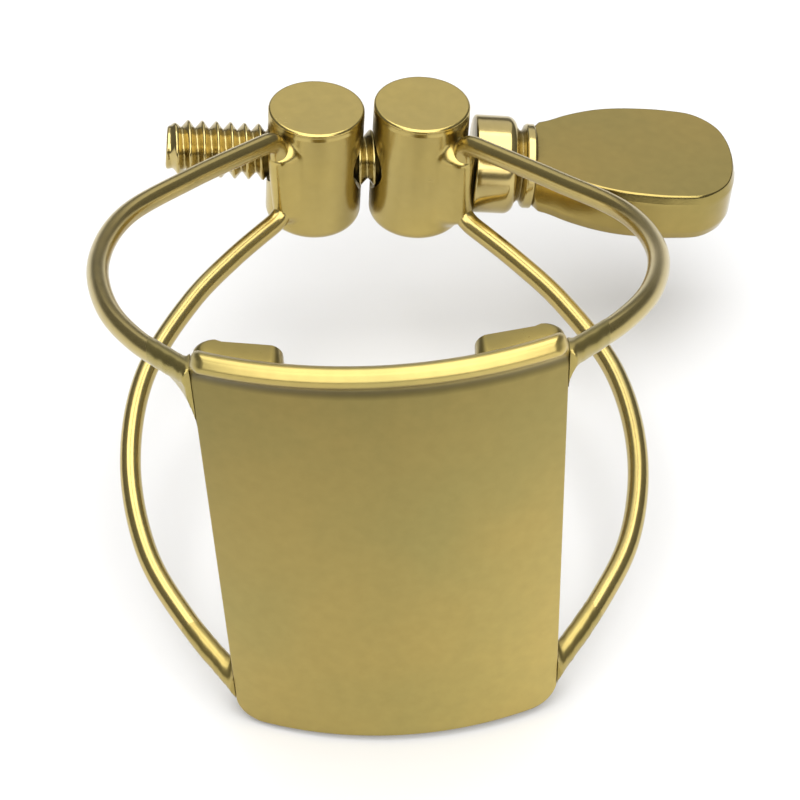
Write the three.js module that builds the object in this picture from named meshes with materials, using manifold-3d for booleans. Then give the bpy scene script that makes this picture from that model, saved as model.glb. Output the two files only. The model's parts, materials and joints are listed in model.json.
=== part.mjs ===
// Saxophone ligature: a reed plate with two rails, two spring-wire bows that clasp the mouthpiece,
// and two clamp barrels drawn together by one thumbscrew.
// Millimetres, +Z up. The origin lies on the mouthpiece axis (Z), at the middle of the plate's height.
// The plate faces -Y, the clamp barrels sit at +Y and the thumbscrew points to +X.

import * as THREE from 'three';
import { mergeVertices } from 'three/addons/utils/BufferGeometryUtils.js';
import Module from 'manifold-3d';

const wasm = await Module();
wasm.setup();

// ---------------------------------------------------------------- driving dimensions

const GAP = 0.06;                    // seam left between brazed pieces and in running fits

// Plate: a curved sheet with its top edge rolled outwards.
const SHEET = 1.0;
const PLATE_RADIUS = 20.6;           // outer face
const PLATE_CENTRE_Y = 3.03;         // axis of that face
const PLATE_BOTTOM = -12.2;
const PLATE_TOP_HALF = 8.8;          // half width at LIP_START
const PLATE_BOTTOM_HALF = 8.16;      // half width at PLATE_BOTTOM
const LIP_START = 10.33;
const LIP_BEND_RADIUS = 2.2;         // centre line of the sheet
const LIP_BEND = THREE.MathUtils.degToRad(58);
const LIP_REACH = 0.1;              // straight end of the lip beyond its bend
const PLATE_CORNER = 1.3;
const PLATE_EDGE = 0.2;              // chamfer along the bottom edge
const PLATE_STEPS = 24;
const PLATE_LEAN = THREE.MathUtils.degToRad(-0.8);  // plate and rails are brazed on a little turned about Y

// Reed rails: bars brazed to the back of the plate.
const RAIL_INNER = 4.45;             // distance of the inner side from the middle
const RAIL_THICK = 1.35;
const RAIL_TILT = THREE.MathUtils.degToRad(11);
const RAIL_TOP = 11.25;
const RAIL_BOTTOM = -11.6;
const RAIL_CHAMFER = 0.55;
const RAIL_END_ROUND = 0.6;          // rounding of the bar's ends, seen from the front
const RAIL_EDGE = 0.2;
const RAIL_INSET = 0.1;              // how far the outer side stays inside the plate's edge
const RAIL_STEPS = 6;

// Wire bows: (half width, y) from the plate to the barrel; z runs evenly between the two ends.
const WIRE_RADIUS = 0.57;
const UPPER_BOW_LEFT = [
  [8.95, -15], [11.55, -11.3], [13.2, -7.5], [14, -2], [13, 3.7], [9.9, 8.7], [5.2, 14.95],
];
const UPPER_BOW_RIGHT = [
  [8.95, -15], [11.65, -11.3], [13.4, -7.5], [14.25, -2], [13.2, 3.7], [9.95, 8.7], [5.2, 14.95],
];
const LOWER_BOW = [
  [8.2, -15], [10.75, -11.3], [12.65, -7.5], [13.6, -2], [12.88, 3.7], [10.36, 8.7], [7.95, 11.8], [5, 14.95],
];
const UPPER_FOOT_Z = 10.4;
const LOWER_FOOT_Z = -10.1;
const UPPER_BEND_Z = 1.5;
const LOWER_BEND_Z = -3.8;
const BOW_TWIST = 0.065;             // the clamp end of the bows sits a little turned about Y
const BEND_TRIM = 0.95;              // wire length taken up by the bend on each side of its corner
const WIRE_STEPS = 130;

// Braze beads round the feet of the wires.
const BEAD_RADIUS = 1.15;
const BEAD_FLATTENING = 0.62;
const BEAD_OUT = 0.12;               // centre beyond the side of the plate
const BEAD_Y = -14.75;

// Clamp: barrels and screw share one axis, tilted about Y; each barrel leans a little less.
const CLAMP_X = -0.23;
const CLAMP_Y = 17.3;
const CLAMP_Z = -1.4;
const SCREW_TILT = THREE.MathUtils.degToRad(6.4);
const BARREL_LEAN = THREE.MathUtils.degToRad(4.1);
const BARREL_RADIUS = 2.73;
const BARREL_SPACING = 2.98;         // barrel axis from the middle of the clamp
const LEFT_BARREL = { low: -4.28, high: 3.28 };
const RIGHT_BARREL = { low: -3.94, high: 3.98 };
const BARREL_FOOT_ROUND = 0.8;
const BARREL_TOP_CHAMFER = 0.14;
const COUNTERSINK = 0.3;             // depth of the 45 degree mouth of each bore
const ROUND_STEPS = 40;

// Thumbscrew, along its own axis.
const THREAD_RADIUS = 1.6;
const THREAD_ROOT = 1.2;
const THREAD_PITCH = 0.8;
const SCREW_END = -11.45;
const THREAD_RUNOUT = 1.6;
const SHANK_RADIUS = 1.4;
const COLLAR_FACE = 6.05;
const COLLAR_RADIUS = 2.8;
const COLLAR_EDGE = 0.2;
const COLLAR_SHOULDER = 0.6;         // rounding where the cylinder ends
const COLLAR_SHOULDER_X = 7.9;
const COLLAR_END = 9.6;
const SOCKET_DEPTH = 1.5;            // how far the shank sits in the collar

// Groove and ring between collar and paddle: (along the screw, radius).
const COLLAR_RING = [[8.8, 2.02], [8.95, 2.3], [9.35, 2.42], [COLLAR_END, 2.3]];

// Half of the paddle seen from above: (along the screw, half width), from the neck to the tip.
const PADDLE_PLAN = [
  [9.6, 2.3], [10.1, 2.65], [11.2, 3.05], [13, 3.63], [15.4, 4.22], [17.4, 4.4], [19.2, 4.07], [20.6, 2.7],
  [21.14, 0],
];
// Paddle seen from its edge: (along the screw, half thickness).
const PADDLE_SIDE = [[9.6, 2.4], [10.6, 2.34], [11.8, 2.02], [13.6, 1.7], [16.2, 1.52], [21.4, 1.46]];
// Turned surface that rounds the paddle's neck into the collar: (along the screw, radius).
const PADDLE_NECK = [[9.66, 0], [9.66, 2.4], [10.1, 2.9], [11.2, 3.7], [12.4, 4.8], [22, 5], [22, 0]];
const PADDLE_BLOCK = 10;             // size of the blocks that the paddle is cut from

// ---------------------------------------------------------------- materials

function brass(name, color, roughness) {
  return new THREE.MeshStandardMaterial({ name, color, roughness, metalness: 1 });
}
const satin = brass('satin_brass', 0xb59a55, 0.42);
const polished = brass('polished_brass', 0xc9a24a, 0.18);
const solder = brass('braze_alloy', 0xbfa76a, 0.35);

// ---------------------------------------------------------------- solid helpers

function toSolid(geometry) {
  const bare = geometry.clone();
  for (const key of Object.keys(bare.attributes)) {
    if (key !== 'position') bare.deleteAttribute(key);
  }
  const merged = mergeVertices(bare, 1e-5);
  const index = merged.index.array;
  const corners = [];
  for (let i = 0; i < index.length; i += 3) {
    const [a, b, c] = [index[i], index[i + 1], index[i + 2]];
    if (a !== b && b !== c && c !== a) corners.push(a, b, c);
  }
  return new wasm.Manifold(new wasm.Mesh({
    numProp: 3,
    vertProperties: new Float32Array(merged.attributes.position.array),
    triVerts: new Uint32Array(corners),
  }));
}

function toGeometry(solid) {
  const mesh = solid.getMesh();
  const geometry = new THREE.BufferGeometry();
  geometry.setAttribute('position', new THREE.BufferAttribute(mesh.vertProperties, 3));
  geometry.setIndex(new THREE.BufferAttribute(mesh.triVerts, 1));
  const faceted = geometry.toNonIndexed();
  faceted.computeVertexNormals();
  return faceted;
}

function namedMesh(name, geometry, material) {
  const mesh = new THREE.Mesh(geometry, material);
  mesh.name = name;
  return mesh;
}

// A solid of revolution about X from (x, radius) pairs that start and end on the axis.
function turned(profile, segments) {
  const points = profile.map(([x, r]) => new THREE.Vector2(r, x));
  return new THREE.LatheGeometry(points, segments).rotateZ(-Math.PI / 2);
}

// Points of an arc in a profile, from one angle to another.
function arc(cx, cy, radius, from, to, steps) {
  return Array.from({ length: steps + 1 }, (_, i) => {
    const a = from + (to - from) * i / steps;
    return [cx + radius * Math.cos(a), cy + radius * Math.sin(a)];
  });
}

function outline(points) {
  return new THREE.Shape(points.map(([x, y]) => new THREE.Vector2(x, y)));
}

// ---------------------------------------------------------------- plate and rails

function halfWidth(z) {
  const f = (z - PLATE_BOTTOM) / (LIP_START - PLATE_BOTTOM);
  return THREE.MathUtils.lerp(PLATE_BOTTOM_HALF, PLATE_TOP_HALF, f);
}

// Pulls the sides in towards the bottom, the same way for the plate and for its rails.
function taper(geometry) {
  const p = geometry.attributes.position;
  for (let i = 0; i < p.count; i++) {
    p.setX(i, p.getX(i) * halfWidth(p.getZ(i)) / PLATE_TOP_HALF);
  }
  return geometry;
}

// Height of the lip's tip centre, and of the highest point of the plate.
function lipTipZ() {
  return LIP_START + LIP_BEND_RADIUS * Math.sin(LIP_BEND) + LIP_REACH * Math.cos(LIP_BEND);
}

function sheetTop() {
  return lipTipZ() + SHEET / 2;
}

// Side profile of the sheet: (outwards, up), going round the rolled lip.
function sheetProfile() {
  const half = SHEET / 2;
  const bendX = LIP_BEND_RADIUS - half;
  const tipX = bendX - LIP_BEND_RADIUS * Math.cos(LIP_BEND) + LIP_REACH * Math.sin(LIP_BEND);
  const tipZ = lipTipZ();
  return [
    [-SHEET, PLATE_BOTTOM + PLATE_EDGE],
    [-SHEET + PLATE_EDGE, PLATE_BOTTOM],
    [-PLATE_EDGE, PLATE_BOTTOM],
    [0, PLATE_BOTTOM + PLATE_EDGE],
    ...arc(bendX, LIP_START, LIP_BEND_RADIUS - half, Math.PI, Math.PI - LIP_BEND, 4),
    ...arc(tipX, tipZ, half, -LIP_BEND, Math.PI - LIP_BEND, 7),
    ...arc(bendX, LIP_START, LIP_BEND_RADIUS + half, Math.PI - LIP_BEND, Math.PI, 6),
  ];
}

function makePlate() {
  const spread = Math.asin(PLATE_TOP_HALF / PLATE_RADIUS);
  const sweep = new THREE.CatmullRomCurve3(Array.from({ length: PLATE_STEPS + 1 }, (_, i) => {
    const a = -spread + 2 * spread * i / PLATE_STEPS;
    return new THREE.Vector3(PLATE_RADIUS * Math.sin(a), PLATE_CENTRE_Y - PLATE_RADIUS * Math.cos(a), 0);
  }));
  const section = outline(sheetProfile().map(([out, up]) => [-up, -out]));
  const sheet = taper(new THREE.ExtrudeGeometry(section, { steps: PLATE_STEPS, extrudePath: sweep }));
  return toGeometry(toSolid(sheet).intersect(toSolid(plateFront()))).rotateY(PLATE_LEAN);
}

// Front view of the plate with its rounded corners, as a deep block that trims the sheet.
function plateFront() {
  const c = PLATE_CORNER;
  const low = PLATE_BOTTOM;
  const high = sheetTop();
  const lowHalf = halfWidth(low + c);
  const highHalf = halfWidth(high - c) + PLATE_EDGE;
  const right = [
    ...arc(lowHalf - c, low + c, c, 1.5 * Math.PI, 2 * Math.PI, 6),
    ...arc(highHalf - c, high - c, c, 0, Math.PI / 2, 6),
  ];
  const front = outline([...right, ...right.map(([x, z]) => [-x, z]).reverse()]);
  const block = new THREE.ExtrudeGeometry(front, { depth: PLATE_RADIUS, bevelEnabled: false });
  return block.rotateX(Math.PI / 2);
}

// Plan section of the right-hand rail: the front follows the plate, the back is flat and tilted.
function railSection() {
  const r = PLATE_RADIUS - SHEET - GAP;
  const outer = PLATE_TOP_HALF - RAIL_INSET;
  const front = Array.from({ length: RAIL_STEPS + 1 }, (_, i) => {
    const x = THREE.MathUtils.lerp(RAIL_INNER, outer, i / RAIL_STEPS);
    return [x, PLATE_CENTRE_Y - Math.sqrt(r * r - x * x)];
  });
  const middle = (RAIL_INNER + PLATE_TOP_HALF) / 2;
  const middleY = PLATE_CENTRE_Y - Math.sqrt(r * r - middle * middle) + RAIL_THICK;
  const back = (x) => [x, middleY + (x - middle) * Math.tan(RAIL_TILT)];
  return [
    ...front,
    [outer, back(outer)[1] - RAIL_CHAMFER],
    back(outer - RAIL_CHAMFER),
    back(RAIL_INNER + RAIL_EDGE),
    [RAIL_INNER, back(RAIL_INNER)[1] - RAIL_EDGE],
  ];
}

// Front view of a rail with its rounded ends, as a deep block that trims the bar.
function railFront(side) {
  const c = RAIL_END_ROUND;
  const inner = RAIL_INNER - RAIL_EDGE;
  const outer = PLATE_TOP_HALF;
  const ends = [
    ...arc(outer - c, RAIL_TOP - c, c, 0, Math.PI / 2, 5),
    ...arc(inner + c, RAIL_TOP - c, c, Math.PI / 2, Math.PI, 5),
    ...arc(inner + c, RAIL_BOTTOM + c, c, Math.PI, 1.5 * Math.PI, 5),
    ...arc(outer - c, RAIL_BOTTOM + c, c, 1.5 * Math.PI, 2 * Math.PI, 5),
  ];
  const front = outline(ends.map(([x, z]) => [side * x, z]));
  const block = new THREE.ExtrudeGeometry(front, { depth: PLATE_RADIUS, bevelEnabled: false });
  return block.rotateX(Math.PI / 2);
}

function makeRail(side) {
  const section = outline(railSection().map(([x, y]) => [side * x, y]));
  const length = RAIL_TOP - RAIL_BOTTOM;
  const bar = new THREE.ExtrudeGeometry(section, { depth: length, bevelEnabled: false, steps: RAIL_STEPS });
  bar.translate(0, 0, RAIL_BOTTOM);
  const ends = taper(railFront(side));
  return toGeometry(toSolid(taper(bar)).intersect(toSolid(ends))).rotateY(PLATE_LEAN);
}

// ---------------------------------------------------------------- wire bows and their braze beads

function bowPoints(bow, side, footZ, bendZ) {
  const footY = bow[0][1];
  const bendY = bow[bow.length - 1][1];
  return bow.map(([half, y]) => {
    const f = (y - footY) / (bendY - footY);
    const lean = Math.sin(PLATE_LEAN) * (1 - f) ** 2;
    const x = side * half + lean * footZ;
    const z = THREE.MathUtils.lerp(footZ, bendZ, f) - (BOW_TWIST * f + lean) * side * half;
    return new THREE.Vector3(x, y, z);
  });
}

// One bow's route from its foot on the plate to where the bend at the barrel begins.
function armRoute(bow, side, footZ, bendZ) {
  const points = bowPoints(bow, side, footZ, bendZ);
  const corner = points[points.length - 1];
  const smooth = new THREE.CatmullRomCurve3(points).getSpacedPoints(48);
  return { corner, route: smooth.filter((p) => p.distanceTo(corner) > BEND_TRIM) };
}

function wireRoute(side) {
  const upperBow = side < 0 ? UPPER_BOW_LEFT : UPPER_BOW_RIGHT;
  const upper = armRoute(upperBow, side, UPPER_FOOT_Z, UPPER_BEND_Z);
  const lower = armRoute(LOWER_BOW, side, LOWER_FOOT_Z, LOWER_BEND_Z);
  const down = new THREE.Vector3().subVectors(lower.corner, upper.corner).normalize();
  const below = upper.corner.clone().addScaledVector(down, BEND_TRIM);
  const above = lower.corner.clone().addScaledVector(down, -BEND_TRIM);
  const bend = (a, corner, b) => new THREE.QuadraticBezierCurve3(a, corner, b).getPoints(4);
  return new THREE.CatmullRomCurve3([
    ...upper.route.slice(0, -1),
    ...bend(upper.route[upper.route.length - 1], upper.corner, below),
    ...bend(above, lower.corner, lower.route[lower.route.length - 1]),
    ...lower.route.slice(0, -1).reverse(),
  ]);
}

function sweepWire(side, radius) {
  const section = new THREE.Shape();
  section.absarc(0, 0, radius, 0, 2 * Math.PI);
  const along = { steps: WIRE_STEPS, curveSegments: 4, extrudePath: wireRoute(side) };
  return new THREE.ExtrudeGeometry(section, along);
}

// Block that fills the plate and rail up to their side faces at height z.
function sideBlock(side, z) {
  const depth = 8;
  const block = new THREE.BoxGeometry(depth, 12, 6);
  block.translate(side * (halfWidth(z) + GAP - depth / 2), -14, z);
  return block.rotateY(PLATE_LEAN);
}

function makeWire(side) {
  let solid = toSolid(sweepWire(side, WIRE_RADIUS));
  for (const z of [UPPER_FOOT_Z, LOWER_FOOT_Z]) solid = solid.subtract(toSolid(sideBlock(side, z)));
  return toGeometry(solid);
}

// Braze bead: a flattened ball round the foot of the wire, resting on the side of plate and rail.
function makeBead(side, z) {
  const ball = new THREE.SphereGeometry(BEAD_RADIUS, 14, 10).scale(BEAD_FLATTENING, 1, 1);
  ball.translate(side * (halfWidth(z) + BEAD_OUT), BEAD_Y, z).rotateY(PLATE_LEAN);
  return toGeometry(toSolid(ball)
    .subtract(toSolid(sideBlock(side, z)))
    .subtract(toSolid(sweepWire(side, WIRE_RADIUS + GAP))));
}

// ---------------------------------------------------------------- clamp barrels

function barrelBlank({ low, high }) {
  const r = BARREL_RADIUS;
  const foot = BARREL_FOOT_ROUND;
  const top = BARREL_TOP_CHAMFER;
  const profile = [
    [low, 0],
    ...arc(low + foot, r - foot, foot, Math.PI, Math.PI / 2, 5),
    [high - top, r],
    [high, r - top],
    [high, 0],
  ];
  return turned(profile, ROUND_STEPS).rotateY(-Math.PI / 2);
}

function boreAlongX(side, radius) {
  const reach = 2 * BARREL_RADIUS + 2;
  const bore = new THREE.CylinderGeometry(radius, radius, reach, 28).rotateZ(Math.PI / 2);
  bore.translate(side * BARREL_SPACING, 0, 0);
  const length = 2 * COUNTERSINK;
  const mouth = new THREE.CylinderGeometry(radius + length, radius, length, 28).rotateZ(side * Math.PI / 2);
  mouth.translate(side * (BARREL_SPACING - BARREL_RADIUS + COUNTERSINK - length / 2), 0, 0);
  return [bore, mouth];
}

function makeBarrel(name, side, span, boreRadius, clamp) {
  const barrel = namedMesh(name, barrelBlank(span), polished);
  barrel.position.set(side * BARREL_SPACING, 0, 0);
  barrel.rotation.y = BARREL_LEAN - SCREW_TILT;
  clamp.add(barrel);
  clamp.updateMatrixWorld(true);
  const fromClamp = new THREE.Matrix4().copy(barrel.matrix).invert();
  const fromWorld = new THREE.Matrix4().copy(barrel.matrixWorld).invert();
  const cutters = boreAlongX(side, boreRadius).map((cutter) => cutter.applyMatrix4(fromClamp));
  cutters.push(sweepWire(side, WIRE_RADIUS + GAP).applyMatrix4(fromWorld));
  let solid = toSolid(barrel.geometry);
  for (const cutter of cutters) solid = solid.subtract(toSolid(cutter));
  barrel.geometry = toGeometry(solid);
}

// ---------------------------------------------------------------- thumbscrew

// Thread depth at a point of the shank: a symmetric ridge that climbs one pitch per turn.
function threadRadius(x, turn) {
  const phase = x / THREAD_PITCH - turn;
  const ridge = Math.abs(2 * (phase - Math.floor(phase)) - 1);
  const start = THREE.MathUtils.clamp((x - SCREW_END) / THREAD_PITCH, 0, 1);
  const crest = THREE.MathUtils.lerp(THREAD_ROOT, THREAD_RADIUS, start);
  return THREE.MathUtils.lerp(THREAD_ROOT, crest, ridge);
}

function makeShank() {
  const end = COLLAR_FACE + SOCKET_DEPTH - GAP;
  const length = end - SCREW_END;
  const rows = Math.round(length / THREAD_PITCH * 3);
  const rod = new THREE.CylinderGeometry(SHANK_RADIUS, SHANK_RADIUS, length, 16, rows).rotateZ(-Math.PI / 2);
  rod.translate(SCREW_END + length / 2, 0, 0);
  const p = rod.attributes.position;
  for (let i = 0; i < p.count; i++) {
    const [x, y, z] = [p.getX(i), p.getY(i), p.getZ(i)];
    const radial = Math.hypot(y, z);
    if (x < THREAD_RUNOUT && radial > THREAD_ROOT / 2) {
      const scale = threadRadius(x, Math.atan2(z, y) / (2 * Math.PI)) / radial;
      p.setXYZ(i, x, y * scale, z * scale);
    }
  }
  return toGeometry(toSolid(rod));
}

function makeCollar() {
  const socket = SHANK_RADIUS + GAP;
  const deep = COLLAR_FACE + SOCKET_DEPTH;
  return toGeometry(toSolid(turned([
    [deep, 0],
    [deep, socket],
    [COLLAR_FACE, socket],
    [COLLAR_FACE, COLLAR_RADIUS - COLLAR_EDGE],
    [COLLAR_FACE + COLLAR_EDGE, COLLAR_RADIUS],
    [COLLAR_SHOULDER_X, COLLAR_RADIUS],
    ...arc(COLLAR_SHOULDER_X, COLLAR_RADIUS - COLLAR_SHOULDER, COLLAR_SHOULDER, Math.PI / 2, 0.15, 4),
    ...COLLAR_RING,
    [COLLAR_END, 0],
  ], ROUND_STEPS)));
}

function smoothed(points, count) {
  const curve = new THREE.SplineCurve(points.map(([x, y]) => new THREE.Vector2(x, y)));
  return curve.getPoints(count).map((p) => [p.x, p.y]);
}

function mirrored(points) {
  return [...points, ...points.map(([x, y]) => [x, -y]).reverse()];
}

function makePaddle() {
  const [tip] = PADDLE_PLAN.slice(-1);
  const near = PADDLE_PLAN.slice(0, -1);
  const round = [...near, tip, ...near.map(([x, y]) => [x, -y]).reverse()];
  const flat = { depth: PADDLE_BLOCK, bevelEnabled: false };
  const plan = new THREE.ExtrudeGeometry(outline(smoothed(round, 52)), flat);
  plan.translate(0, 0, -PADDLE_BLOCK / 2);
  const side = new THREE.ExtrudeGeometry(outline(mirrored(smoothed(PADDLE_SIDE, 12))), flat);
  side.translate(0, 0, -PADDLE_BLOCK / 2).rotateX(Math.PI / 2);
  const neck = turned(PADDLE_NECK, ROUND_STEPS);
  return toGeometry(toSolid(plan).intersect(toSolid(side)).intersect(toSolid(neck)));
}

// ---------------------------------------------------------------- assembly

const ligature = new THREE.Group();
ligature.name = 'saxophone_ligature';

ligature.add(namedMesh('pressure_plate', makePlate(), satin));
for (const [word, side] of [['left', -1], ['right', 1]]) {
  ligature.add(namedMesh(`reed_rail_${word}`, makeRail(side), satin));
  ligature.add(namedMesh(`wire_bow_${word}`, makeWire(side), polished));
  ligature.add(namedMesh(`braze_upper_${word}`, makeBead(side, UPPER_FOOT_Z), solder));
  ligature.add(namedMesh(`braze_lower_${word}`, makeBead(side, LOWER_FOOT_Z), solder));
}

const clamp = new THREE.Group();
clamp.position.set(CLAMP_X, CLAMP_Y, CLAMP_Z);
clamp.rotation.y = SCREW_TILT;
ligature.add(clamp);

makeBarrel('barrel_left', -1, LEFT_BARREL, THREAD_RADIUS + GAP, clamp);
makeBarrel('barrel_right', 1, RIGHT_BARREL, THREAD_RADIUS + GAP, clamp);
clamp.add(namedMesh('screw_shank', makeShank(), polished));
clamp.add(namedMesh('thumb_collar', makeCollar(), polished));
clamp.add(namedMesh('thumb_paddle', makePaddle(), satin));

ligature.updateMatrixWorld(true);

export default ligature;
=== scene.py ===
import json
import math

import bmesh
import bpy
import numpy as np
from mathutils import Matrix, Vector


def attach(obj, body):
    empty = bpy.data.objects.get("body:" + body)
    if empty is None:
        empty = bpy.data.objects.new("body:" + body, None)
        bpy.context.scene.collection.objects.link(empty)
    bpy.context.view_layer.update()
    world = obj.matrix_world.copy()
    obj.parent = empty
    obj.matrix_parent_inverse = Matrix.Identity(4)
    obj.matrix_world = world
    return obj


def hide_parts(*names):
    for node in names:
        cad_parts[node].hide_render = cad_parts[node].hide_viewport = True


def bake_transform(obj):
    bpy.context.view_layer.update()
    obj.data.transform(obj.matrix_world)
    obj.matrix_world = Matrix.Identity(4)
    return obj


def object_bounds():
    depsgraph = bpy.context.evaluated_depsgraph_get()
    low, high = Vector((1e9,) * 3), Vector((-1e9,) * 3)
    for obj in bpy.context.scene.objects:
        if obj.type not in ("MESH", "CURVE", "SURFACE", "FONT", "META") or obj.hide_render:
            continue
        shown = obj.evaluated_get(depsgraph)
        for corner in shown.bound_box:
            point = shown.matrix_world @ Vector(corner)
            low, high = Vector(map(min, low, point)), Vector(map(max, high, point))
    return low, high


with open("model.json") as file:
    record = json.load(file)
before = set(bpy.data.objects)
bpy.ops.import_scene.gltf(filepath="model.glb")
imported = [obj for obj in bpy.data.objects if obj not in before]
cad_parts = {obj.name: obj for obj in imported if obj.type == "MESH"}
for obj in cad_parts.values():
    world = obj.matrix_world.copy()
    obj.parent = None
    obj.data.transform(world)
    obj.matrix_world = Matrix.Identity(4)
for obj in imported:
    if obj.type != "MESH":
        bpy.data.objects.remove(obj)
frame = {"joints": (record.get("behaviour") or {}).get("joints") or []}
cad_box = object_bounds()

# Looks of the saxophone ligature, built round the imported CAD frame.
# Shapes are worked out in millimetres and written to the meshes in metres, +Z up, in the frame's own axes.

MM = 0.001
SIDES = (("left", -1), ("right", 1))

# ---------------------------------------------------------------- driving sizes (mm)

SHEET = 1.0
PLATE_RADIUS = 20.6
PLATE_CENTRE_Y = 3.03
PLATE_BOTTOM = -12.2
PLATE_TOP_HALF = 8.8
PLATE_BOTTOM_HALF = 8.16
PLATE_CORNER = 1.3
PLATE_EDGE = 0.07                     # rounding of the sheet's side edges below the lip
PLATE_LEAN = math.radians(-0.8)
LIP_START = 10.33
LIP_BEND_RADIUS = 2.2
LIP_BEND = math.radians(58)
LIP_REACH = 0.49                      # sheet beyond the bend
LIP_TIP = 0.37                        # rounding of its rim
LIP_CORNER = (1.2, 2.3)               # rounding of its ends, across and along the sheet
LIP_EDGE = 0.36                       # rounding of the sheet's side edges at the lip
LIP_EDGE_SPAN = (2.9, 1.0)            # that rounding grows between these distances from the rim
LIP_FINE = 2.6                        # length of sheet below the rim that has its rows closer together

RAIL_INNER = 4.45
RAIL_SETBACK = 0.1                    # outer side of the rail from the plate's edge
RAIL_THICK = 1.35
RAIL_TILT = math.radians(11)
RAIL_CHAMFER = 0.55
RAIL_TOP = 11.25
RAIL_BOTTOM = -11.6
RAIL_END_ROUND = 0.6
RAIL_EDGE = 0.12                      # bevel of its long edges
SIDE_FRONT_Y = -15.6                  # front and back of the side face that plate and rail make up
SIDE_BACK_Y = -14.2
SEAM = 0.06                           # between the plate and its rails

WIRE_RADIUS = 0.565
UPPER_BOW = {
    -1: [(8.95, -15), (11.55, -11.3), (13.2, -7.5), (14, -2), (13, 3.7), (9.9, 8.7), (5.2, 14.95)],
    1: [(8.95, -15), (11.65, -11.3), (13.4, -7.5), (14.25, -2), (13.2, 3.7), (9.95, 8.7), (5.2, 14.95)],
}
LOWER_BOW = [
    (8.2, -15), (10.75, -11.3), (12.65, -7.5), (13.6, -2),
    (12.88, 3.7), (10.36, 8.7), (7.95, 11.8), (5, 14.95),
]
UPPER_Z = (10.4, 1.5)                 # foot on the plate, bend at the barrel
LOWER_Z = (-10.1, -3.8)
BOW_TWIST = 0.065
BEND_TRIM = 0.95
WIRE_SUNK = 0.1                       # each foot's end inside the plate's side face
UPPER_BRAZE = {-1: (0.2, 2.5, 0.5), 1: (0.2, 1.2, 0.5)}    # softness of the blend: above, below, level
LOWER_BRAZE = (0.4, 0.4, 0.4)
BRAZE_REACH = 3.0                     # brazing metal runs this far out along the wire
BRAZE_SEARCH = 3.4                    # its surface lies within this distance of the wire's middle
BRAZE_COVER = 0.03                    # its thickness over the wire next to the plate
BRAZE_SINK = 0.09                     # how far that falls at the end, so that it slips under the wire
BRAZE_UNDER = 0.04                    # inside the plate and rail it stays this far below their faces
BRAZE_BULGE = 0.5                     # how fast it may come forward of the plate, away from its side
FLEX_START_Y = -13.0                  # points of the bows beyond this plane, towards the barrels, are kept when the bows are trimmed at the plate's side face

BARREL_RADIUS = 2.73
BARREL_SPACING = 2.98
BARREL_LEAN = math.radians(4.1)
BARREL_SPAN = {-1: (-4.28, 3.28), 1: (-3.94, 3.98)}
BARREL_FOOT_ROUND = 0.8
BARREL_RIM = 0.17
BARREL_LINE = 0.06                    # depth of the line turned under its rim
BARREL_LINE_BELOW = (0.32, 0.28, 0.24)    # where that line lies below the top
BARREL_AXIS = 0.02                    # radius of the innermost ring of points on its ends
RIDGE_COVER = 0.05                    # brazing metal over the wire's upright
RIDGE_SHOULDER = 0.8                  # share of its half width that is round, before its sides turn straight
RIDGE_SLOPE = 1.4                     # how steeply those sides fall
RIDGE_SOFT = 0.4                      # softness of the fillets at their feet
RIDGE_ENDS = (1.45, 0.3)              # uncovered wire next to its upper and lower bends
COUNTERSINK = 0.3                     # depth of the cone at the bore's inner mouth
BORE_RADIUS = 1.66

THREAD_RADIUS = 1.6
THREAD_ROOT = 1.2
THREAD_PITCH = 0.8
THREAD_STEEP = 1.3                    # above 1, the crest and the root of the V are cut flat
THREAD_RUNOUT = 1.6                   # where the thread has faded into the plain shank
SHANK_RADIUS = 1.4
SCREW_END = -11.45
COLLAR_FACE = 6.05
COLLAR_RADIUS = 2.8
COLLAR_EDGE = 0.16
COLLAR_SHOULDER = 0.6
COLLAR_SHOULDER_X = 7.9
COLLAR_END = 9.6
GROOVE_X = 8.8
GROOVE_RADIUS = 2.02
GROOVE_WALL = ((-0.12, 0.02), (0, 0), (0.08, 0.1), (0.16, 0.3))    # from its bottom: along, outwards
RING_SPAN = (9.12, 9.42)              # middles of the round edges of the ring beside the groove
RING_RADIUS = 2.42
RING_EDGE = 0.1

# Paddle: (along the screw, half width) from above. It starts inside the collar's ring.
PADDLE_PLAN = [
    (9.35, 2.2), (10.3, 2.55), (11.4, 3.2), (12.9, 3.86), (14.2, 4.2),
    (15.8, 4.37), (17.4, 4.37), (19.2, 4.04), (20.6, 2.68), (21.13, 0),
]
PADDLE_HALF = (1.58, 1.46)            # half thickness at its neck and at its tip
PADDLE_NECK = (2.05, 1.2)             # cone it was turned to: radius at its start, growth per mm
PADDLE_NECK_SOFT = 0.12               # softness of the edge between that cone and the flat faces
PADDLE_RIM = 0.17                     # width of the bevel round the paddle's faces
PADDLE_BEVEL = 3.0                    # its steepness
PADDLE_RIM_SOFT = 0.04                # softness of its inner edge
PADDLE_INSETS = [0.8, 0.65, *(0.5 * np.linspace(1, 0, 15) ** 1.7)]    # loops of the faces, inwards

JOINTS = {joint["name"]: joint for joint in frame["joints"]}
SCREW_PIVOT = Vector(JOINTS["thumbscrew_turn"]["pos_m"]) / MM
SCREW_AXIS = Vector(JOINTS["thumbscrew_turn"]["axis"])
SCREW_TILT = math.atan2(-SCREW_AXIS.z, SCREW_AXIS.x)
CLAMP = Matrix.Translation(SCREW_PIVOT) @ Matrix.Rotation(SCREW_TILT, 4, "Y")
LEAN = Matrix.Rotation(PLATE_LEAN, 4, "Y")


# ---------------------------------------------------------------- mesh helpers

def smoothstep(low, high, x):
    t = np.clip((np.asarray(x, float) - low) / (high - low), 0, 1)
    return t * t * (3 - 2 * t)


def edge_drop(distance, radius):
    """How far a rounded edge falls below the face, at a distance from the rim."""
    inside = radius - np.minimum(distance, radius)
    return radius - np.sqrt(np.maximum(radius * radius - inside * inside, 0))


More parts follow.
